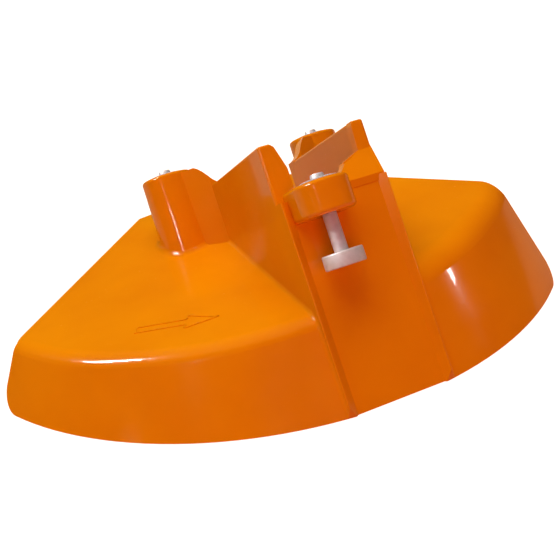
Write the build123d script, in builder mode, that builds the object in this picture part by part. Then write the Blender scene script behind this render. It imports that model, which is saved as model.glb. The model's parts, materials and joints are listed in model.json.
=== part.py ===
"""Blade guard of a clearing saw: a painted casting with three captive fixing screws."""

import os
from math import cos, radians, sin

from build123d import *

os.makedirs("parts", exist_ok=True)

# Place of the blade's axis in the part's frame; the rim rests on Z = 0.
axis_x = 14.36
axis_y = 53.13

# Shell: a cone round the blade's axis, closed by one slanted top plate.
rim_radius = 132.0
skirt_flare = 0.53
shell_wall = 3.0
plate_height = 34.0
plate_slope = 0.10
shell_height = 70.0
crease_left = 7.0
crease_right = 11.0
cavity_radius = 128.61
cavity_crease = 5.0
rim_corner = 9.0
rim_overrun = 6.0
rim_trim_height = 9.0
near = 0.05
bay_radius = 22.0
sweep_reach = 160.0
left_outline = [(24, 8), (30, 24), (42.3, 24.5), (112, -41.5), (150, -55.5), (130, -160)]
right_outline = [(24, 8), (46, 8), (51, -30), (80, -76.5), (112, -107), (60, -160)]

# Bracket: everything above the plate leans back with the gear housing.
lean = 27.75
wall_outer = 20.6
wall_inner = 16.2
wall_top = 37.2
wall_front = -112.0
wall_back = -36.9
wall_foot_front = -40.0
wall_foot_back = 5.0
wall_fillet = 1.6
joint_top = 38.0
front_wall_depth = 5.0
wall_edge = 0.8
post_edge = 1.2
notch_right = [(16.2, 37.2), (15.5, 35.5), (15.0, 26.6), (8.1, 23.7), (6.7, 19.1)]
notch_left = [(-12.2, 19.1), (-12.3, 27.5), (-13.3, 31.1), (-14.7, 35.8), (-16.2, 37.2)]

# Flat panel down the skirt's front, between two sharp ridges.
ridge_front = -117.6
ridge_top = 16.0
ridge_inner = 17.3
panel_front = -115.2
panel_wall = 3.0
panel_foot = -75.0
ledge_height = 4.0
crest_round = 0.4

# Ramp under the right post.
ramp_left = 3.0
ramp_side = [(-109.5, 30.5), (-112, 26.5), (-115.9, 16.6), (-115.4, 14.0), (-114.0, 13.7), (-109.5, 13.7)]
ramp_foot = 13.0
ramp_right = 20.4
ramp_crest = [(20.4, 28.9), (15.6, 26.8), (11.0, 24.4), (7.9, 23.2), (6.3, 21.5), (3.0, 18.4)]

# Bosses and ear, each with the same screw seat.
boss_spacing = 67.4
boss_back = -28.5
boss_top = 47.5
boss_radius = 10.3
boss_draft = 1.0
boss_depth = 45.0
boss_edge = 1.2
boss_foot = 3.0
web_half = 7.0
web_high = 46.2
web_slope = [(25.0, 46.2), (22.0, 43.2), (19.2, 39.2), (16.2, 37.4)]
ear_x = -7.5
ear_front = -123.6
ear_back = -108.0
ear_top = 19.1
ear_radius = 10.0
ear_edge = 1.5
seat_depth = 11.8
hole_radius = 3.75
pocket_radius = 8.3

# Captive screw and its retaining washer.
thread_radius = 3.0
thread_length = 9.0
shank_radius = 2.5
head_radius = 7.3
head_height = 5.2
head_edge = 0.5
tip_above_boss = 2.4
tip_edge = 0.6
screw_travel = 13.2
socket_width = 5.0
socket_depth = 3.2
washer_radius = 6.8
washer_height = 1.0
washer_edge = 0.25
running_gap = 0.05

lean_sin = sin(radians(lean))
lean_cos = cos(radians(lean))
blade_axis = Axis((axis_x, axis_y, 0), (0, 0, 1))
bracket = Plane(origin=(axis_x, axis_y, 0), x_dir=(1, 0, 0), z_dir=(0, lean_sin, lean_cos))
screw_axis = Axis((0, 0, 0), bracket.z_dir)


def middle(edge):
    """An edge's middle, in the bracket's own coordinates."""
    return bracket.to_local_coords(edge @ 0.5)


def plate_plane(drop=0.0):
    """The plate's top face, or the same plane some millimetres lower."""
    centre = (axis_x, axis_y, plate_height - drop)
    return Plane(origin=centre, x_dir=(1, 0, plate_slope), z_dir=(-plate_slope, 0, 1))


def side_plane(x):
    """The plane across the bracket at x: its own axes are the bracket's Y and Z."""
    return Plane(origin=bracket.from_local_coords((x, 0, 0)), x_dir=bracket.y_dir, z_dir=(1, 0, 0))


def facing_plane(y):
    """The plane along the bracket at y, seen from the front: its own axes are the bracket's X and Z."""
    return Plane(origin=bracket.from_local_coords((0, y, 0)), x_dir=(1, 0, 0), z_dir=-bracket.y_dir)


def tapered_disc(radius, low, high, drop, crease_radius):
    """A cone round the blade's axis, cut off by the slanted plate plane and rounded at the crease."""
    with BuildPart() as disc:
        with BuildSketch(Plane(origin=(axis_x, axis_y, 0), x_dir=(1, 0, 0), z_dir=(0, -1, 0))):
            with BuildLine():
                Polyline(
                    (0, low),
                    (radius - skirt_flare * low, low),
                    (radius - skirt_flare * high, high),
                    (0, high),
                    close=True,
                )
            make_face()
        revolve(axis=blade_axis)
        split(bisect_by=plate_plane(drop), keep=Keep.BOTTOM)
        fillet(disc.edges().filter_by(GeomType.ELLIPSE).sort_by(Axis.Z)[-1], crease_radius)
    return disc.part


def lobe(side, outline, crease_radius):
    """One half of the shell, inside an outline given from the blade's axis."""
    points = [(axis_x + side * x, axis_y + y) for x, y in outline]
    bay_end = (axis_x + side * bay_radius, axis_y)
    with BuildPart() as half:
        add(tapered_disc(rim_radius, -rim_overrun, shell_height, 0, crease_radius))
        with BuildSketch(Plane.XY.offset(-rim_overrun)):
            with BuildLine():
                RadiusArc((axis_x, axis_y - bay_radius), bay_end, -side * bay_radius)
                Polyline(bay_end, *points, (axis_x, axis_y - sweep_reach), (axis_x, axis_y - bay_radius))
            make_face()
        extrude(amount=shell_height, mode=Mode.INTERSECT)
    return half.part


def corner_cutter(side, end):
    """Rounds the lower corner at one end of the skirt; end is the outline's point outside the rim there."""
    outward = Vector(side * end[0], end[1], 0).normalized()
    corner = Vector(axis_x, axis_y, 0) + outward * rim_radius
    with BuildPart() as cutter:
        with BuildSketch(Plane(origin=corner, x_dir=Vector(0, 0, 1).cross(outward), z_dir=outward)):
            with Locations((-side * rim_corner / 2, rim_corner / 2)):
                Rectangle(rim_corner, rim_corner)
            with Locations((-side * rim_corner, rim_corner)):
                Circle(rim_corner, mode=Mode.SUBTRACT)
        extrude(amount=4 * shell_wall, both=True)
    return cutter.part


def web(side):
    """The bridge between a rear boss and its wall, its top falling from the boss to the wall."""
    centre = boss_spacing / 2
    with BuildPart() as bridge:
        with BuildSketch(bracket):
            with BuildLine():
                Polyline(
                    (side * wall_inner, wall_back),
                    (side * wall_inner, wall_back - web_half),
                    (side * wall_outer, wall_back - web_half),
                    (side * centre, boss_back - web_half),
                    (side * centre, boss_back),
                    (side * wall_outer, wall_back),
                    close=True,
                )
            make_face()
        extrude(amount=boss_top)
        with BuildSketch(facing_plane(0)):
            with BuildLine():
                slope = Spline(*[(side * x, z) for x, z in web_slope])
                corners = [(side * wall_inner, 0), (side * centre, 0), (side * centre, web_high)]
                Polyline(slope @ 1, *corners, slope @ 0)
            make_face()
        extrude(amount=sweep_reach, both=True, mode=Mode.INTERSECT)
    return bridge.part


# Cavity under the plate, open at both ends and at the back.
with BuildPart() as cavity:
    add(tapered_disc(cavity_radius, -2 * rim_overrun, shell_height, shell_wall, cavity_crease))

# Section across both ridges and the panel between them, seen along the screws.
with BuildSketch() as ridge_section:
    Polygon(
        (-wall_outer, wall_front),
        (-wall_outer, ridge_front),
        (-ridge_inner, panel_front),
        (ridge_inner, panel_front),
        (wall_outer, ridge_front),
        (wall_outer, wall_front),
        align=None,
    )
    fillet(ridge_section.vertices().group_by(Axis.Y)[0], crest_round)

# Ramp that closes the foot of the right post.
with BuildPart() as ramp:
    with BuildSketch(side_plane(ramp_left)):
        with BuildLine():
            Polyline(*ramp_side, close=True)
        make_face()
    extrude(amount=wall_outer - ramp_left)
    with BuildSketch(facing_plane(0)):
        with BuildLine():
            Polyline((ramp_left, ramp_foot), (ramp_right, ramp_foot), *ramp_crest, close=True)
        make_face()
    extrude(amount=sweep_reach, mode=Mode.INTERSECT)

with BuildPart() as guard_casting:
    add(lobe(-1, left_outline, crease_left))
    add(lobe(1, right_outline, crease_right))

    # Two walls that carry the gear housing's neck and run on down the skirt as ridges.
    for low in (-wall_outer, wall_inner):
        with BuildSketch(side_plane(low)):
            with BuildLine():
                Polyline(
                    (wall_back, wall_top),
                    (wall_front, wall_top),
                    (wall_front, ridge_top),
                    (ridge_front, ridge_top),
                    (ridge_front, panel_foot),
                    (wall_front, panel_foot),
                    (wall_front, wall_foot_front),
                    (wall_back, wall_foot_back),
                    close=True,
                )
            make_face()
        extrude(amount=wall_outer - wall_inner)
    post_edges = guard_casting.edges().filter_by(lambda edge: abs(middle(edge).Y - wall_front) < near)
    fillet(post_edges.filter_by(lambda edge: abs(abs(middle(edge).X) - wall_outer) < near), post_edge)

    # The joint line of walls and shell is filleted before anything cuts it.
    for side in (-1, 1):
        wall_x = side * wall_outer
        wall_edges = guard_casting.edges().filter_by(lambda edge: abs(middle(edge).X - wall_x) < near)
        low_edges = wall_edges.filter_by(lambda edge: -rim_overrun < (edge @ 0.5).Z < joint_top)
        fillet(low_edges.filter_by(lambda edge: middle(edge).Y > ridge_front + near), wall_fillet)

    # Rear bosses, each tied to the back end of its wall by a web.
    with BuildSketch(bracket.offset(boss_top)):
        with Locations((-boss_spacing / 2, boss_back), (boss_spacing / 2, boss_back)):
            Circle(boss_radius)
    extrude(amount=-boss_depth, taper=-boss_draft)
    fillet(guard_casting.edges().filter_by(GeomType.CIRCLE).group_by(screw_axis)[-1], boss_edge)
    fillet(guard_casting.edges().filter_by(GeomType.ELLIPSE).sort_by(SortBy.LENGTH)[-2:], boss_foot)
    add(web(-1))
    add(web(1))
    add(cavity.part, mode=Mode.SUBTRACT)

    # Space in front of the panel, then the panel itself.
    with BuildSketch(bracket.offset(ridge_top)):
        with Locations((0, wall_front)):
            Rectangle(2 * wall_outer, sweep_reach + wall_front, align=(Align.CENTER, Align.MAX))
        add(ridge_section.sketch, mode=Mode.SUBTRACT)
    extrude(amount=panel_foot - ridge_top, mode=Mode.SUBTRACT)
    with BuildSketch(bracket.offset(ridge_top)):
        with Locations((0, panel_front)):
            Rectangle(2 * wall_outer, panel_wall, align=(Align.CENTER, Align.MIN))
    extrude(amount=panel_foot - ridge_top)

    # Front wall with its notch, between the two posts, and the ramp and ledge at its foot.
    with BuildSketch(facing_plane(wall_front)):
        Polygon((-wall_inner, ridge_top), (wall_inner, ridge_top), *notch_right, *notch_left, align=None)
    extrude(amount=-front_wall_depth)
    with BuildSketch(side_plane(-wall_outer)):
        Polygon(
            (panel_front, ridge_top),
            (panel_front, ridge_top - ledge_height),
            (wall_front + front_wall_depth, ridge_top - ledge_height),
            (wall_front + front_wall_depth, ridge_top),
            align=None,
        )
    extrude(amount=2 * wall_outer)
    add(ramp.part)

    # Ear with the front screw's seat.
    with BuildSketch(bracket.offset(ear_top)):
        with Locations((ear_x, ear_front)):
            Circle(ear_radius)
        with Locations((ear_x, ear_front)):
            Rectangle(2 * ear_radius, ear_back - ear_front, align=(Align.CENTER, Align.MIN))
    extrude(amount=-seat_depth)

    # Everything below the rim plane or outside the rim's circle goes.
    with BuildSketch(Plane.XY):
        Rectangle(4 * sweep_reach, 4 * sweep_reach)
    extrude(amount=-sweep_reach, mode=Mode.SUBTRACT)
    with BuildSketch(Plane.XY):
        with Locations((axis_x, axis_y)):
            Circle(sweep_reach)
            Circle(rim_radius, mode=Mode.SUBTRACT)
    extrude(amount=rim_trim_height, mode=Mode.SUBTRACT)

    add(corner_cutter(-1, left_outline[-2]), mode=Mode.SUBTRACT)
    add(corner_cutter(1, right_outline[-2]), mode=Mode.SUBTRACT)

    # Rounded edges: the ear all round, then the walls' long top edges.
    ear_zone = guard_casting.edges().filter_by(lambda edge: abs(middle(edge).X - ear_x) < ear_radius + near)
    for level, front in ((ear_top, wall_front), (ear_top - seat_depth, panel_front)):
        level_edges = ear_zone.filter_by(lambda edge: abs(middle(edge).Z - level) < near)
        fillet(level_edges.filter_by(lambda edge: middle(edge).Y < front - 2 * near), ear_edge)
    top_edges = guard_casting.edges().filter_by(lambda edge: abs(middle(edge).Z - wall_top) < near)
    fillet(top_edges.sort_by(SortBy.LENGTH)[-4:], wall_edge)

    # Screw seats.
    with BuildSketch(bracket.offset(boss_top)):
        with Locations((-boss_spacing / 2, boss_back), (boss_spacing / 2, boss_back)):
            Circle(hole_radius)
    extrude(amount=-boss_depth, mode=Mode.SUBTRACT)
    with BuildSketch(bracket.offset(boss_top - seat_depth)):
        with Locations((-boss_spacing / 2, boss_back), (boss_spacing / 2, boss_back)):
            Circle(pocket_radius)
    extrude(amount=-boss_depth, mode=Mode.SUBTRACT)
    with BuildSketch(bracket.offset(ear_top)):
        with Locations((ear_x, ear_front)):
            Circle(hole_radius)
    extrude(amount=-seat_depth, mode=Mode.SUBTRACT)

guard_casting.part.label = "guard_casting"
export_step(guard_casting.part, "parts/guard_casting.step")

# Three captive screws and their retaining washers.
seats = {
    "ear": (ear_x, ear_front, ear_top),
    "left": (-boss_spacing / 2, boss_back, boss_top),
    "right": (boss_spacing / 2, boss_back, boss_top),
}
for place, (x, y, top) in seats.items():
    tip = top + tip_above_boss
    under_head = top - seat_depth - screw_travel
    with BuildPart() as screw:
        with BuildSketch(bracket.offset(under_head - head_height)):
            with Locations((x, y)):
                Circle(head_radius)
        extrude(amount=head_height)
        chamfer(screw.edges(), head_edge)
        with BuildSketch(bracket.offset(under_head)):
            with Locations((x, y)):
                Circle(shank_radius)
        extrude(amount=tip - under_head)
        with BuildSketch(bracket.offset(tip - thread_length)):
            with Locations((x, y)):
                Circle(thread_radius)
        extrude(amount=thread_length)
        chamfer(screw.edges().group_by(screw_axis)[-1], tip_edge)
        with BuildSketch(bracket.offset(under_head - head_height)):
            with Locations((x, y)):
                RegularPolygon(socket_width / 2, 6, major_radius=False)
        extrude(amount=socket_depth, mode=Mode.SUBTRACT)
    screw.part.label = place + "_screw"
    export_step(screw.part, "parts/" + place + "_screw.step")

    with BuildPart() as washer:
        with BuildSketch(bracket.offset(top)):
            with Locations((x, y)):
                Circle(washer_radius)
                Circle(thread_radius + running_gap, mode=Mode.SUBTRACT)
        extrude(amount=washer_height)
        chamfer(washer.edges().group_by(screw_axis)[-1].sort_by(SortBy.RADIUS)[-1], washer_edge)
    washer.part.label = place + "_retaining_washer"
    export_step(washer.part, "parts/" + place + "_retaining_washer.step")
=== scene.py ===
"""Looks of a clearing saw's blade guard.

Glossy enamel over the casting, with three captive screws and their star washers.
"""

import json
import logging
import math
from collections.abc import Callable
from dataclasses import dataclass
from enum import Enum

import bmesh
import bpy
from mathutils import Matrix, Vector

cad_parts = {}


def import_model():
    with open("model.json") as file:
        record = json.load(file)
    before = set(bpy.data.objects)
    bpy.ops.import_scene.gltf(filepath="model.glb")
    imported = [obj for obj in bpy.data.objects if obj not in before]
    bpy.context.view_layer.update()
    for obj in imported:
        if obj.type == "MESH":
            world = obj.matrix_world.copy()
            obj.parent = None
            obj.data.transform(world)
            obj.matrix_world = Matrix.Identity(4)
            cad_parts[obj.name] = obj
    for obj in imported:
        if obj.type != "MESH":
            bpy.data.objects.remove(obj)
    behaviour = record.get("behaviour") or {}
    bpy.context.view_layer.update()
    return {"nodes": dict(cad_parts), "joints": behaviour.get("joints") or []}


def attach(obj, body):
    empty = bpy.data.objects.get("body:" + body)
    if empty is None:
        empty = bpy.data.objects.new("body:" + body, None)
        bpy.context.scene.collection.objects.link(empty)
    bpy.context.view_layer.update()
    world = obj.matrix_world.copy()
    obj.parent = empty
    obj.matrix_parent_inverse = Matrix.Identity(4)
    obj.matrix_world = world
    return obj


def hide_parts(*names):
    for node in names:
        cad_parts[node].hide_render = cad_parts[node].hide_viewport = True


MM = 0.001
SAME_HEIGHT = 1e-6
NEAR_AXIS = 0.1 * MM
UPWARD = 0.99
SMOOTH_ANGLE = math.radians(35)
FLAT_ANGLE = math.radians(1)
COLOUR_SOFTNESS = 0.15
GLOSS_SOFTNESS = 0.20

Socket = bpy.types.NodeSocket
Pair = tuple[float, float]
Triple = tuple[float, float, float]

log = logging.getLogger("guard")


class Place(Enum):
    """The three screw seats, named as the frame's bodies name them."""

    EAR = "ear"
    LEFT = "left"
    RIGHT = "right"


# ---------------------------------------------------------------- node and mesh helpers


class NodeBoard:
    """A material's node tree with short calls for adding and joining nodes."""

    def __init__(self, name: str) -> None:
        """Starts a material that holds only its shader and output.

        Args:
            name: the material's name.
        """
        self.material = bpy.data.materials.new(name)
        self.material.use_nodes = True
        self.tree = self.material.node_tree
        self.shader = self.tree.nodes["Principled BSDF"]
        self.place = self.tree.nodes.new("ShaderNodeTexCoord").outputs["Object"]

    def link(self, start: Socket, end: Socket) -> None:
        """Joins two sockets."""
        self.tree.links.new(start, end)

    def turned(self, centre: Vector, axis: Vector) -> Socket:
        """Coordinates about a point, turned so that an axis becomes Z.

        Args:
            centre: the point that becomes the origin.
            axis: the direction that becomes Z.

        Returns:
            The turned coordinates' socket.
        """
        node = self.tree.nodes.new("ShaderNodeMapping")
        turn = axis.to_track_quat("Z", "Y").to_matrix().inverted()
        node.inputs["Rotation"].default_value = turn.to_euler()
        node.inputs["Location"].default_value = -(turn @ centre)
        self.link(self.place, node.inputs["Vector"])
        return node.outputs["Vector"]

    def noise(self, size: float, detail: float = 2.0, place: Socket | None = None) -> Socket:
        """A cloud pattern whose patches are about one size across.

        Args:
            size: the patches' size in metres.
            detail: how many finer layers it has.
            place: the coordinates it reads, or the object's own.

        Returns:
            The pattern's value socket.
        """
        node = self.tree.nodes.new("ShaderNodeTexNoise")
        node.inputs["Scale"].default_value = 1.0 / size
        node.inputs["Detail"].default_value = detail
        self.link(place or self.place, node.inputs["Vector"])
        return node.outputs["Fac"]

    def spread(self, value: Socket, low: float, high: float, to: Pair) -> Socket:
        """Stretches part of a value's range over another range.

        Args:
            value: the socket that is read.
            low: the reading that gives the first end.
            high: the reading that gives the other end.
            to: both ends of the new range.

        Returns:
            The stretched value's socket.
        """
        node = self.tree.nodes.new("ShaderNodeMapRange")
        ends = {"From Min": low, "From Max": high, "To Min": to[0], "To Max": to[1]}
        for name, number in ends.items():
            node.inputs[name].default_value = number
        self.link(value, node.inputs["Value"])
        return node.outputs["Result"]

    def mottle(self, value: Socket, softness: float, to: Pair = (0.0, 1.0)) -> Socket:
        """Stretches the middle of a cloud pattern over a range.

        Args:
            value: the pattern's socket.
            softness: how far from its middle the pattern reaches the range's ends.
            to: both ends of the range.

        Returns:
            The stretched pattern's socket.
        """
        return self.spread(value, 0.5 - softness, 0.5 + softness, to)

    def blend(self, value: Socket, first: Triple, second: Triple) -> Socket:
        """Mixes two colours by a value.

        Args:
            value: 0 for the first colour and 1 for the second.
            first: a colour as red, green and blue.
            second: the other colour.

        Returns:
            The mixed colour's socket.
        """
        node = self.tree.nodes.new("ShaderNodeMix")
        node.data_type = "RGBA"
        node.inputs["A"].default_value = (*first, 1.0)
        node.inputs["B"].default_value = (*second, 1.0)
        self.link(value, node.inputs["Factor"])
        return node.outputs["Result"]

    def relief(self, layers: list[tuple[Socket, float, float]]) -> None:
        """Stacks bumps and joins them to the shader's normal.

        Args:
            layers: each layer's height socket, its depth in metres and its strength.
        """
        below = None
        for height, depth, strength in layers:
            node = self.tree.nodes.new("ShaderNodeBump")
            node.inputs["Distance"].default_value = depth
            node.inputs["Strength"].default_value = strength
            self.link(height, node.inputs["Height"])
            if below:
                self.link(below, node.inputs["Normal"])
            below = node.outputs["Normal"]
        self.link(below, self.shader.inputs["Normal"])


def clear_selection() -> None:
    """Leaves object mode with nothing selected."""
    if bpy.context.object and bpy.context.object.mode != "OBJECT":
        bpy.ops.object.mode_set(mode="OBJECT")
    bpy.ops.object.select_all(action="DESELECT")


def choose(piece: bpy.types.Object) -> None:
    """Makes one piece the only selected and the active one.

    Args:
        piece: the piece.
    """
    clear_selection()
    piece.select_set(True)
    bpy.context.view_layer.objects.active = piece


def pick_faces(test: Callable[[Vector, Vector], bool]) -> None:
    """Selects the faces of the mesh in edit mode whose centre and normal pass a test.

    Args:
        test: called with a face's centre and normal.
    """
    mesh = bpy.context.object.data
    bm = bmesh.from_edit_mesh(mesh)
    bpy.ops.mesh.select_mode(type="FACE")
    bpy.ops.mesh.select_all(action="DESELECT")
    for face in bm.faces:
        if test(face.calc_center_median(), face.normal):
            face.select_set(True)
    bmesh.update_edit_mesh(mesh)


def pick_edges(test: Callable[[Vector, Vector], bool]) -> None:
    """Selects the edges of the mesh in edit mode whose two ends pass a test.

    Args:
        test: called with both ends' places.
    """
    mesh = bpy.context.object.data
    bm = bmesh.from_edit_mesh(mesh)
    bpy.ops.mesh.select_mode(type="EDGE")
    bpy.ops.mesh.select_all(action="DESELECT")
    for edge in bm.edges:
        if test(edge.verts[0].co, edge.verts[1].co):
            edge.select_set(True)
    bmesh.update_edit_mesh(mesh)


def pull(way: Triple) -> None:
    """Extrudes what is selected by a distance along each axis."""
    bpy.ops.mesh.extrude_region_move(TRANSFORM_OT_translate={"value": way})


def face_outwards() -> None:
    """Turns every face of the mesh in edit mode to the outside."""
    bpy.ops.mesh.select_all(action="SELECT")
    bpy.ops.mesh.normals_make_consistent(inside=False)


def settle(piece: bpy.types.Object, where: Matrix) -> None:
    """Moves a piece's mesh to its place, so that its object stays at the origin.

    Args:
        piece: a piece built round the origin.
        where: the move from there to its place.
    """
    choose(piece)
    piece.matrix_world = where
    bpy.ops.object.transform_apply(location=True, rotation=True, scale=True)
    bpy.ops.object.shade_smooth_by_angle(angle=SMOOTH_ANGLE)


def apply_all(piece: bpy.types.Object) -> None:
    """Applies every modifier of a piece in order.

    Args:
        piece: the piece.
    """
    choose(piece)
    for modifier in list(piece.modifiers):
        bpy.ops.object.modifier_apply(modifier=modifier.name)


def round_edges(piece: bpy.types.Object, width: float, segments: int) -> None:
    """Adds a modifier that rounds a piece's sharp edges.

    Args:
        piece: the piece.
        width: the rounding's width.
        segments: how many faces it has across.
    """
    rounding = piece.modifiers.new("edges", "BEVEL")
    rounding.width = width
    rounding.segments = segments


# ---------------------------------------------------------------- finishes


@dataclass(frozen=True)
class Enamel:
    """Thick orange enamel with a mirror gloss, a faint orange peel and a slow waviness."""

    name: str = "orange_enamel"
    warm: Triple = (0.79, 0.213, 0.0)
    deep: Triple = (0.74, 0.186, 0.0)
    patch_size: float = 34 * MM
    gloss: Pair = (0.10, 0.17)
    gloss_size: float = 9 * MM
    dust_size: float = 0.9 * MM
    dust_range: Pair = (0.74, 0.80)
    dust_dullness: float = 0.25
    coat: float = 0.3
    coat_roughness: float = 0.03
    shine: float = 0.12
    peel_size: float = 1.4 * MM
    peel_depth: float = 0.10 * MM
    wave_size: float = 26 * MM
    wave_depth: float = 0.9 * MM
    relief_strength: float = 0.10

    def material(self) -> bpy.types.Material:
        """Builds the enamel's material.

        Returns:
            The material.
        """
        board = NodeBoard(self.name)
        shader = board.shader
        patches = board.mottle(board.noise(self.patch_size, 3.0), COLOUR_SOFTNESS)
        board.link(board.blend(patches, self.deep, self.warm), shader.inputs["Base Color"])
        cloud = board.mottle(board.noise(self.gloss_size, 4.0), GLOSS_SOFTNESS, self.gloss)
        dust = board.noise(self.dust_size, 1.0)
        specks = board.spread(dust, *self.dust_range, (0.0, self.dust_dullness))
        total = board.tree.nodes.new("ShaderNodeMath")
        board.link(cloud, total.inputs[0])
        board.link(specks, total.inputs[1])
        board.link(total.outputs["Value"], shader.inputs["Roughness"])
        shader.inputs["Coat Weight"].default_value = self.coat
        shader.inputs["Coat Roughness"].default_value = self.coat_roughness
        shader.inputs["Specular IOR Level"].default_value = self.shine
        peel = board.noise(self.peel_size, 1.0)
        waves = board.noise(self.wave_size, 1.5)
        board.relief([
            (waves, self.wave_depth, self.relief_strength),
            (peel, self.peel_depth, self.relief_strength),
        ])
        return board.material


@dataclass(frozen=True)
class ZincPlate:
    """Matt zinc plating on turned steel, with blotches and turning marks round the screw."""

    name: str = "matt_zinc"
    light: Triple = (0.70, 0.61, 0.62)
    dull: Triple = (0.61, 0.53, 0.54)
    blotch_size: float = 2.2 * MM
    roughness: Pair = (0.42, 0.60)
    roughness_size: float = 0.8 * MM
    metal: float = 0.35
    ring_scale: float = 0.31
    turning_pitch: float = 0.35 * MM
    turning_waver: float = 0.6
    turning_depth: float = 0.02 * MM
    turning_strength: float = 0.35
    grain_size: float = 0.35 * MM
    grain_depth: float = 0.03 * MM
    grain_strength: float = 0.3

    def material(self, centre: Vector, axis: Vector) -> bpy.types.Material:
        """Builds the plating's material for a screw at one seat.

        Args:
            centre: a point on the screw's axis.
            axis: the screw's direction.

        Returns:
            The material.
        """
        board = NodeBoard(self.name)
        shader = board.shader
        blotch = board.mottle(board.noise(self.blotch_size, 5.0), COLOUR_SOFTNESS)
        board.link(board.blend(blotch, self.dull, self.light), shader.inputs["Base Color"])
        cloud = board.noise(self.roughness_size, 3.0)
        rough = board.mottle(cloud, GLOSS_SOFTNESS, self.roughness)
        board.link(rough, shader.inputs["Roughness"])
        shader.inputs["Metallic"].default_value = self.metal
        rings = board.tree.nodes.new("ShaderNodeTexWave")
        rings.wave_type = "RINGS"
        rings.rings_direction = "Z"
        rings.inputs["Scale"].default_value = self.ring_scale / self.turning_pitch
        rings.inputs["Distortion"].default_value = self.turning_waver
        board.link(board.turned(centre, axis), rings.inputs["Vector"])
        grain = board.noise(self.grain_size, 2.0)
        board.relief([
            (rings.outputs["Fac"], self.turning_depth, self.turning_strength),
            (grain, self.grain_depth, self.grain_strength),
        ])
        return board.material


@dataclass(frozen=True)
class SpringSteel:
    """Bright plated spring steel of the retaining washers."""

    name: str = "washer_steel"
    light: Triple = (0.86, 0.77, 0.90)
    dull: Triple = (0.70, 0.61, 0.73)
    blotch_size: float = 1.6 * MM
    roughness: Pair = (0.18, 0.34)
    roughness_size: float = 0.5 * MM
    metal: float = 0.30
    grain_size: float = 0.3 * MM
    grain_depth: float = 0.02 * MM
    grain_strength: float = 0.3

    def material(self, centre: Vector, axis: Vector) -> bpy.types.Material:
        """Builds the washer's material.

        Args:
            centre: the hole's centre.
            axis: the hole's direction.

        Returns:
            The material.
        """
        board = NodeBoard(self.name)
        shader = board.shader
        around = board.turned(centre, axis)
        blotch = board.mottle(board.noise(self.blotch_size, 4.0, around), COLOUR_SOFTNESS)
        board.link(board.blend(blotch, self.dull, self.light), shader.inputs["Base Color"])
        cloud = board.noise(self.roughness_size, 2.0)
        rough = board.mottle(cloud, GLOSS_SOFTNESS, self.roughness)
        board.link(rough, shader.inputs["Roughness"])
        shader.inputs["Metallic"].default_value = self.metal
        grain = board.noise(self.grain_size, 2.0, around)
        board.relief([(grain, self.grain_depth, self.grain_strength)])
        return board.material


# ---------------------------------------------------------------- the object's own pieces


@dataclass
class Seat:
    """One screw seat: where the screw's axis meets the seat's top, and which way it points."""

    place: Place
    centre: Vector
    axis: Vector

    @classmethod
    def find(cls, place: Place, joints: list[dict]) -> "Seat":
        """Reads a seat from the frame's joints.

        Args:
            place: which seat.
            joints: the frame's joints.

        Returns:
            The seat.
        """
        name = place.value + "_screw_turn"
        turn = next(joint for joint in joints if joint["name"] == name)
        return cls(place, Vector(turn["pos_m"]), Vector(turn["axis"]).normalized())

    def matrix(self) -> Matrix:
        """The move from the origin to the seat's top, with Z along the screw."""
        turn = self.axis.to_track_quat("Z", "Y").to_matrix().to_4x4()
        return Matrix.Translation(self.centre) @ turn


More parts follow.
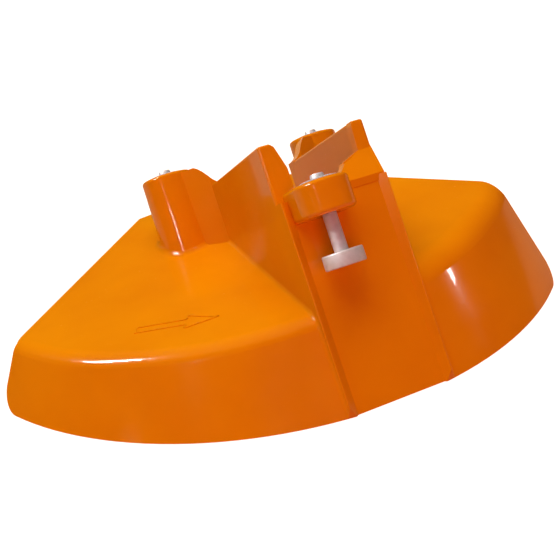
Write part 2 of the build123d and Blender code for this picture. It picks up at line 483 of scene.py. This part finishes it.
@dataclass
class CaptiveScrew:
    """A captive M6 screw: flat round head with a hexagon socket, reduced shank and thread."""

    seat: Seat
    head_radius: float = 7.3 * MM
    head_height: float = 5.2 * MM
    head_edge: float = 0.5 * MM
    head_sides: int = 64
    shank_radius: float = 2.5 * MM
    shank_foot: float = 0.3 * MM
    thread_radius: float = 3.0 * MM
    thread_pitch: float = 1.0 * MM
    thread_turns: int = 8
    thread_steps: int = 28
    crest_share: float = 0.15
    root_share: float = 0.98
    root_sink: float = 0.15 * MM
    tip_height: float = 2.4 * MM
    tip_edge: float = 0.6 * MM
    tip_share: float = 0.92
    tip_dish_rim: float = 0.9 * MM
    tip_dish: float = 0.15 * MM
    seat_depth: float = 11.8 * MM
    travel: float = 13.2 * MM
    socket_width: float = 5.0 * MM
    socket_depth: float = 3.2 * MM

    def build(self) -> bpy.types.Object:
        """Models head, shank and thread, and joins them.

        Returns:
            The finished screw, in its place.
        """
        under_head = -self.seat_depth - self.travel
        body = self.build_body(under_head)
        self.cut_socket(body, under_head - self.head_height)
        thread = self.build_thread()
        choose(body)
        thread.select_set(True)
        bpy.ops.object.join()
        settle(body, self.seat.matrix())
        body.name = self.seat.place.value + "_screw_turned"
        return body

    def build_body(self, under_head: float) -> bpy.types.Object:
        """Turns the head and pulls the shank out of its upper face.

        Args:
            under_head: the height of the head's upper face.

        Returns:
            The body, round the seat's origin.
        """
        clear_selection()
        bpy.ops.mesh.primitive_cylinder_add(
            vertices=self.head_sides,
            radius=self.head_radius,
            depth=self.head_height,
            location=(0, 0, under_head - self.head_height / 2),
        )
        body = bpy.context.object
        bpy.ops.object.transform_apply(location=True)
        bpy.ops.object.mode_set(mode="EDIT")
        pick_edges(lambda a, b: abs(a.z - b.z) < SAME_HEIGHT)
        bpy.ops.mesh.bevel(offset=self.head_edge, segments=3, affect="EDGES")
        pick_faces(lambda centre, normal: normal.z > UPWARD and centre.xy.length < NEAR_AXIS)
        flat = self.head_radius - self.head_edge
        bpy.ops.mesh.inset(thickness=flat - self.shank_radius - self.shank_foot)
        bpy.ops.mesh.inset(thickness=self.shank_foot)
        pull((0, 0, self.tip_height - self.tip_edge - under_head))
        pull((0, 0, self.tip_edge))
        narrow = (self.thread_radius - self.tip_edge) / self.shank_radius * self.tip_share
        bpy.ops.transform.resize(value=(narrow, narrow, 1))
        bpy.ops.mesh.inset(thickness=self.tip_dish_rim)
        bpy.ops.transform.translate(value=(0, 0, -self.tip_dish))
        bpy.ops.object.mode_set(mode="OBJECT")
        return body

    def cut_socket(self, body: bpy.types.Object, head_face: float) -> None:
        """Cuts the hexagon socket into the head's lower face.

        Args:
            body: the screw's body.
            head_face: the height of that face.
        """
        clear_selection()
        bpy.ops.mesh.primitive_cylinder_add(
            vertices=6,
            radius=self.socket_width / math.sqrt(3),
            depth=2 * self.socket_depth,
            location=(0, 0, head_face),
        )
        cutter = bpy.context.object
        cut = body.modifiers.new("socket", "BOOLEAN")
        cut.object = cutter
        cut.operation = "DIFFERENCE"
        apply_all(body)
        bpy.data.objects.remove(cutter)

    def build_thread(self) -> bpy.types.Object:
        """Winds one thread profile up the shank.

        Returns:
            The thread, round the seat's origin.
        """
        clear_selection()
        bpy.ops.mesh.primitive_plane_add(
            size=self.thread_pitch,
            location=(self.shank_radius, 0, 0),
            rotation=(math.pi / 2, 0, 0),
        )
        thread = bpy.context.object
        bpy.ops.object.transform_apply(location=True, rotation=True, scale=True)
        bpy.ops.object.mode_set(mode="EDIT")
        flank = self.thread_radius - self.shank_radius
        pick_edges(lambda a, b: min(a.x, b.x) > self.shank_radius)
        bpy.ops.transform.translate(value=(flank - self.thread_pitch / 2, 0, 0))
        bpy.ops.transform.resize(value=(1, 1, self.crest_share), center_override=(0, 0, 0))
        pick_edges(lambda a, b: max(a.x, b.x) < self.shank_radius)
        bpy.ops.transform.translate(value=(self.thread_pitch / 2 - self.root_sink, 0, 0))
        bpy.ops.transform.resize(value=(1, 1, self.root_share), center_override=(0, 0, 0))
        bpy.ops.mesh.select_all(action="SELECT")
        start = self.tip_height - self.tip_edge - self.thread_turns * self.thread_pitch
        bpy.ops.transform.translate(value=(0, 0, start))
        bpy.ops.mesh.delete(type="ONLY_FACE")
        bpy.ops.object.mode_set(mode="OBJECT")
        winding = thread.modifiers.new("winding", "SCREW")
        winding.screw_offset = self.thread_pitch
        winding.iterations = self.thread_turns - 1
        winding.steps = self.thread_steps
        winding.render_steps = self.thread_steps
        apply_all(thread)
        bpy.ops.object.mode_set(mode="EDIT")
        bpy.ops.mesh.select_all(action="SELECT")
        bpy.ops.mesh.remove_doubles(threshold=SAME_HEIGHT)
        bpy.ops.mesh.fill_holes(sides=4)
        face_outwards()
        bpy.ops.object.mode_set(mode="OBJECT")
        return thread

    def dress(self, piece: bpy.types.Object, plate: ZincPlate) -> None:
        """Gives the screw its plating and ties it to its body.

        Args:
            piece: the screw.
            plate: its finish.
        """
        piece.data.materials.clear()
        piece.data.materials.append(plate.material(self.seat.centre, self.seat.axis))
        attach(piece, self.seat.place.value + "_screw")
        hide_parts(self.seat.place.value + "_screw")


@dataclass
class StarWasher:
    """A dished retaining washer with spring tabs that grip the screw."""

    seat: Seat
    outer_radius: float = 6.8 * MM
    rim_width: float = 0.5 * MM
    rim_rise: float = 0.35
    hole_radius: float = 3.1 * MM
    tab_root: float = 4.6 * MM
    tab_rise: float = 0.8
    thickness: float = 0.4 * MM
    height: float = 1.0 * MM
    edge: float = 0.08 * MM
    tabs: int = 6
    steps_per_tab: int = 8
    slot_steps: float = 0.6

    def build(self) -> bpy.types.Object:
        """Models the dished ring and its tabs.

        Returns:
            The washer, in its place on the seat.
        """
        clear_selection()
        steps = self.tabs * self.steps_per_tab
        bpy.ops.mesh.primitive_circle_add(vertices=steps, radius=self.outer_radius)
        washer = bpy.context.object
        bpy.ops.object.mode_set(mode="EDIT")
        bpy.ops.mesh.select_all(action="SELECT")
        self.draw_rings()
        pick_faces(lambda centre, normal: self.in_slot(centre))
        bpy.ops.mesh.delete(type="FACE")
        bpy.ops.object.mode_set(mode="OBJECT")
        wall = washer.modifiers.new("sheet", "SOLIDIFY")
        wall.thickness = self.thickness
        wall.offset = 1.0
        round_edges(washer, self.edge, 2)
        apply_all(washer)
        self.stand_up(washer)
        settle(washer, self.seat.matrix())
        washer.name = self.seat.place.value + "_star_washer"
        return washer

    def draw_rings(self) -> None:
        """Draws the outer circle in and up to the hole, one ring at a time."""
        crown = self.height - self.thickness
        rings = (
            (self.outer_radius - self.rim_width, self.rim_rise * crown),
            (self.tab_root, self.tab_rise * crown),
            (self.hole_radius, crown),
        )
        radius = self.outer_radius
        level = 0.0
        for inner, rise in rings:
            share = inner / radius
            pull((0, 0, rise - level))
            bpy.ops.transform.resize(value=(share, share, 1), center_override=(0, 0, 0))
            radius, level = inner, rise

    def in_slot(self, centre: Vector) -> bool:
        """Tells whether a face lies in one of the slots between tabs.

        Args:
            centre: the face's centre.

        Returns:
            True where there is no metal.
        """
        if centre.xy.length > self.tab_root:
            return False
        tab_angle = 2 * math.pi / self.tabs
        half_slot = tab_angle / self.steps_per_tab * self.slot_steps
        turn = math.atan2(centre.y, centre.x) % tab_angle
        return min(turn, tab_angle - turn) < half_slot

    def stand_up(self, washer: bpy.types.Object) -> None:
        """Sets the washer's lowest point on the seat's top, with its faces outward.

        Args:
            washer: the washer, round the origin.
        """
        choose(washer)
        bpy.ops.object.mode_set(mode="EDIT")
        face_outwards()
        low = min(vertex.co.z for vertex in bmesh.from_edit_mesh(washer.data).verts)
        bpy.ops.transform.translate(value=(0, 0, -low))
        bpy.ops.object.mode_set(mode="OBJECT")

    def dress(self, piece: bpy.types.Object, steel: SpringSteel) -> None:
        """Gives the washer its steel and ties it to its body.

        Args:
            piece: the washer.
            steel: its finish.
        """
        piece.data.materials.clear()
        piece.data.materials.append(steel.material(self.seat.centre, self.seat.axis))
        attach(piece, self.seat.place.value + "_washer")
        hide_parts(self.seat.place.value + "_retaining_washer")


@dataclass
class RotationArrow:
    """The cast outline of an arrow on the left lobe's plate: the blade's direction."""

    blade_axis: Pair = (14.36 * MM, 53.13 * MM)
    tail: Pair = (-73.5 * MM, -70.5 * MM)
    tip: Pair = (-45.8 * MM, -85.6 * MM)
    shaft_width: float = 4.2 * MM
    head_width: float = 9.0 * MM
    head_length: float = 12.0 * MM
    barb_share: float = 0.02
    point_share: float = 0.02
    line_width: float = 0.7 * MM
    line_height: float = 0.35 * MM
    line_edge: float = 0.2 * MM
    sink: float = 0.1 * MM
    plate_height: float = 34.0 * MM
    plate_slope: float = 0.10

    def build(self) -> bpy.types.Object:
        """Models the arrow's outline as a low raised line.

        Returns:
            The arrow, in its place on the plate.
        """
        run = Vector(self.tip) - Vector(self.tail)
        clear_selection()
        bpy.ops.mesh.primitive_plane_add(size=1, location=(0, 0, 0))
        arrow = bpy.context.object
        bpy.ops.object.mode_set(mode="EDIT")
        self.draw_shape(run.length - self.head_length)
        bpy.ops.mesh.select_all(action="SELECT")
        bpy.ops.mesh.dissolve_limited(angle_limit=FLAT_ANGLE)
        bpy.ops.mesh.select_all(action="SELECT")
        bpy.ops.mesh.inset(thickness=self.line_width)
        bpy.ops.mesh.delete(type="FACE")
        bpy.ops.mesh.select_all(action="SELECT")
        pull((0, 0, self.line_height))
        face_outwards()
        bpy.ops.object.mode_set(mode="OBJECT")
        round_edges(arrow, self.line_edge, 3)
        apply_all(arrow)
        settle(arrow, self.where(run))
        arrow.name = "rotation_arrow"
        return arrow

    def draw_shape(self, shaft: float) -> None:
        """Shapes the square in edit mode into a flat arrow along X.

        Args:
            shaft: the shaft's length.
        """
        bpy.ops.mesh.select_all(action="SELECT")
        bpy.ops.transform.resize(value=(shaft, self.shaft_width, 1))
        bpy.ops.transform.translate(value=(shaft / 2, 0, 0))
        pick_edges(lambda a, b: min(a.x, b.x) > shaft / 2)
        pull((-self.barb_share * self.head_length, 0, 0))
        widen = self.head_width / self.shaft_width
        bpy.ops.transform.resize(value=(1, widen, 1), center_override=(shaft, 0, 0))
        pull((self.head_length, 0, 0))
        bpy.ops.transform.resize(value=(1, self.point_share, 1), center_override=(shaft, 0, 0))

    def where(self, run: Vector) -> Matrix:
        """The move from the origin to the arrow's place on the slanted plate.

        Args:
            run: the way from tail to tip.

        Returns:
            The move.
        """
        level = self.plate_height + self.plate_slope * self.tail[0]
        start = Vector(self.blade_axis) + Vector(self.tail)
        foot = Vector((start.x, start.y, level))
        up = Vector((-self.plate_slope, 0, 1)).normalized()
        along = Vector((run.x, run.y, self.plate_slope * run.x)).normalized()
        turn = Matrix((along, up.cross(along), up)).transposed().to_4x4()
        return Matrix.Translation(foot - up * self.sink) @ turn

    def dress(self, piece: bpy.types.Object, paint: bpy.types.Material) -> None:
        """Paints the arrow with the casting and ties it to the guard.

        Args:
            piece: the arrow.
            paint: the casting's own material.
        """
        piece.data.materials.clear()
        piece.data.materials.append(paint)
        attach(piece, "guard")


@dataclass
class Casting:
    """The painted casting, which keeps its own mesh from the frame."""

    node: bpy.types.Object
    enamel: Enamel = Enamel()

    def dress(self) -> bpy.types.Material:
        """Paints the casting.

        Returns:
            The paint's material.
        """
        paint = self.enamel.material()
        for holder in self.node.material_slots:
            holder.material = paint
        return paint


# ---------------------------------------------------------------- studio


class Serves(Enum):
    """What a light is for: soft daylight on the surfaces, or a highlight in the gloss."""

    FILL = "fill"
    HIGHLIGHT = "highlight"


@dataclass
class SoftBox:
    """A rectangular studio light."""

    name: str
    serves: Serves
    place: Triple
    aim: Triple
    size: Pair
    power: float
    colour: Triple = (1.0, 1.0, 1.0)

    def build(self) -> None:
        """Hangs the light and points it."""
        lamp = bpy.data.lights.new(self.name, "AREA")
        lamp.shape = "RECTANGLE"
        lamp.size, lamp.size_y = self.size
        lamp.energy = self.power
        lamp.color = self.colour
        holder = bpy.data.objects.new(self.name, lamp)
        bpy.context.scene.collection.objects.link(holder)
        holder.location = self.place
        way = Vector(self.aim) - Vector(self.place)
        holder.rotation_euler = way.to_track_quat("-Z", "Y").to_euler()
        holder.visible_glossy = self.serves is Serves.HIGHLIGHT
        holder.visible_diffuse = self.serves is Serves.FILL


ORIGIN = (0.0, 0.0, 0.0)
FRONT_FACE = (0.0, 0.0, 0.02)
MIDDLE = (0.0, 0.0, 0.03)
LEFT_LOBE = (-0.05, 0.0, 0.03)
RIGHT_LOBE = (0.05, 0.0, 0.03)


@dataclass
class Studio:
    """A pale floor, a dim room and soft lights."""

    floor_size: float = 12.0
    floor_colour: Triple = (0.60, 0.36, 0.27)
    floor_cloud: float = 0.3
    floor_dim: float = 0.98
    floor_roughness: float = 0.9
    floor_glow: float = 0.85
    floor_gap: float = 0.2 * MM
    room_light: float = 0.12
    room_gloss: float = 0.02
    lights: tuple[SoftBox, ...] = (
        SoftBox(
            "sky", Serves.FILL, place=(-0.25, 0.3, 1.5), aim=ORIGIN,
            size=(1.8, 1.8), power=39.0, colour=(0.84, 1.0, 0.86),
        ),
        SoftBox(
            "front", Serves.FILL, place=(-0.2, -1.5, 0.5), aim=FRONT_FACE,
            size=(1.0, 0.7), power=9.0, colour=(1.0, 0.23, 0.27),
        ),
        SoftBox(
            "tube", Serves.HIGHLIGHT, place=(-0.72, 0.16, 0.76), aim=LEFT_LOBE,
            size=(0.07, 0.34), power=20.0,
        ),
        SoftBox(
            "lamp_front", Serves.HIGHLIGHT, place=(0.10, -0.45, 0.9), aim=MIDDLE,
            size=(0.05, 0.05), power=0.5,
        ),
        SoftBox(
            "window_right", Serves.HIGHLIGHT, place=(1.1, -0.66, 0.34), aim=RIGHT_LOBE,
            size=(0.035, 0.04), power=0.4,
        ),
        SoftBox(
            "window_far", Serves.HIGHLIGHT, place=(0.85, -1.05, 0.5), aim=RIGHT_LOBE,
            size=(0.03, 0.04), power=0.14,
        ),
        SoftBox(
            "window_left", Serves.HIGHLIGHT, place=(-1.2, -0.44, 0.30), aim=LEFT_LOBE,
            size=(0.05, 0.03), power=0.14,
        ),
        SoftBox(
            "spot_left", Serves.HIGHLIGHT, place=(-0.8, -0.69, 0.58), aim=LEFT_LOBE,
            size=(0.022, 0.06), power=0.8,
        ),
    )

    def build(self) -> None:
        """Lays the floor, sets the room's light and hangs the lamps."""
        self.lay_floor()
        self.light_room()
        bpy.context.scene.view_settings.view_transform = "Standard"
        for light in self.lights:
            light.build()

    def lay_floor(self) -> None:
        """Lays the floor just under the guard's rim."""
        clear_selection()
        bpy.ops.mesh.primitive_plane_add(
            size=self.floor_size, location=(0, 0, -self.floor_gap)
        )
        floor = bpy.context.object
        floor.name = "studio_floor"
        floor.data.materials.append(self.floor_material())

    def floor_material(self) -> bpy.types.Material:
        """Builds the floor's material: pale from above and clear from below.

        Returns:
            The material.
        """
        board = NodeBoard("pale_floor")
        nodes = board.tree.nodes
        shader = board.shader
        cloud = board.noise(self.floor_cloud, 2.0)
        dim = tuple(self.floor_dim * part for part in self.floor_colour)
        board.link(board.blend(cloud, dim, self.floor_colour), shader.inputs["Base Color"])
        shader.inputs["Roughness"].default_value = self.floor_roughness
        shader.inputs["Specular IOR Level"].default_value = 0.0
        shader.inputs["Emission Color"].default_value = (1.0, 1.0, 1.0, 1.0)
        seen = nodes.new("ShaderNodeLightPath").outputs["Is Camera Ray"]
        glow = board.spread(seen, 0.0, 1.0, (0.0, self.floor_glow))
        board.link(glow, shader.inputs["Emission Strength"])
        below = nodes.new("ShaderNodeMixShader")
        back = nodes.new("ShaderNodeNewGeometry").outputs["Backfacing"]
        clear = nodes.new("ShaderNodeBsdfTransparent").outputs["BSDF"]
        board.link(back, below.inputs["Fac"])
        board.link(shader.outputs["BSDF"], below.inputs[1])
        board.link(clear, below.inputs[2])
        board.link(below.outputs["Shader"], nodes["Material Output"].inputs["Surface"])
        return board.material

    def light_room(self) -> None:
        """Gives the room a dim light that gloss hardly reflects."""
        world = bpy.data.worlds.new("room")
        world.use_nodes = True
        tree = world.node_tree
        back = tree.nodes["Background"]
        back.inputs["Color"].default_value = (1.0, 1.0, 1.0, 1.0)
        path = tree.nodes.new("ShaderNodeLightPath")
        strength = tree.nodes.new("ShaderNodeMapRange")
        strength.inputs["To Min"].default_value = self.room_light
        strength.inputs["To Max"].default_value = self.room_gloss
        tree.links.new(path.outputs["Is Glossy Ray"], strength.inputs["Value"])
        tree.links.new(strength.outputs["Result"], back.inputs["Strength"])
        bpy.context.scene.world = world


@dataclass
class Camera:
    """The camera, set by where it looks, from how far and how it is tilted."""

    target: Triple = (14.36 * MM, -16.87 * MM, 25 * MM)
    azimuth: float = 22.308
    elevation: float = 25.844
    roll: float = -8.207
    distance: float = 399 * MM
    focal_length: float = 66.77
    sensor_width: float = 36
    shift: Pair = (-0.0676, -0.0113)
    clip_start: float = 10 * MM

    def build(self) -> None:
        """Sets the camera up."""
        turn = math.radians(self.azimuth)
        fall = math.radians(self.elevation)
        tilt = math.radians(self.roll)
        flat = math.cos(fall)
        forward = Vector((math.sin(turn) * flat, math.cos(turn) * flat, -math.sin(fall)))
        level = Vector((math.cos(turn), -math.sin(turn), 0))
        above = level.cross(forward)
        right = math.cos(tilt) * level + math.sin(tilt) * above
        up = math.cos(tilt) * above - math.sin(tilt) * level
        lens = bpy.data.cameras.new("camera")
        lens.sensor_width = self.sensor_width
        lens.lens = self.focal_length
        lens.shift_x, lens.shift_y = self.shift
        lens.clip_start = self.clip_start
        holder = bpy.data.objects.new("camera", lens)
        bpy.context.scene.collection.objects.link(holder)
        place = Vector(self.target) - self.distance * forward
        turned = Matrix((right, up, -forward)).transposed().to_4x4()
        holder.matrix_world = Matrix.Translation(place) @ turned
        bpy.context.scene.camera = holder


def main() -> None:
    """Builds every piece in order."""
    logging.basicConfig(level=logging.INFO)
    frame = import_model()
    Studio().build()
    Camera().build()
    paint = Casting(frame["nodes"]["guard_casting"]).dress()
    log.info("casting painted")
    arrow = RotationArrow()
    arrow.dress(arrow.build(), paint)
    log.info("arrow raised")
    for place in Place:
        seat = Seat.find(place, frame["joints"])
        screw = CaptiveScrew(seat)
        screw.dress(screw.build(), ZincPlate())
        log.info("%s screw in place", place.value)
        washer = StarWasher(seat)
        washer.dress(washer.build(), SpringSteel())
        log.info("%s washer in place", place.value)


if __name__ == "__main__":
    main()
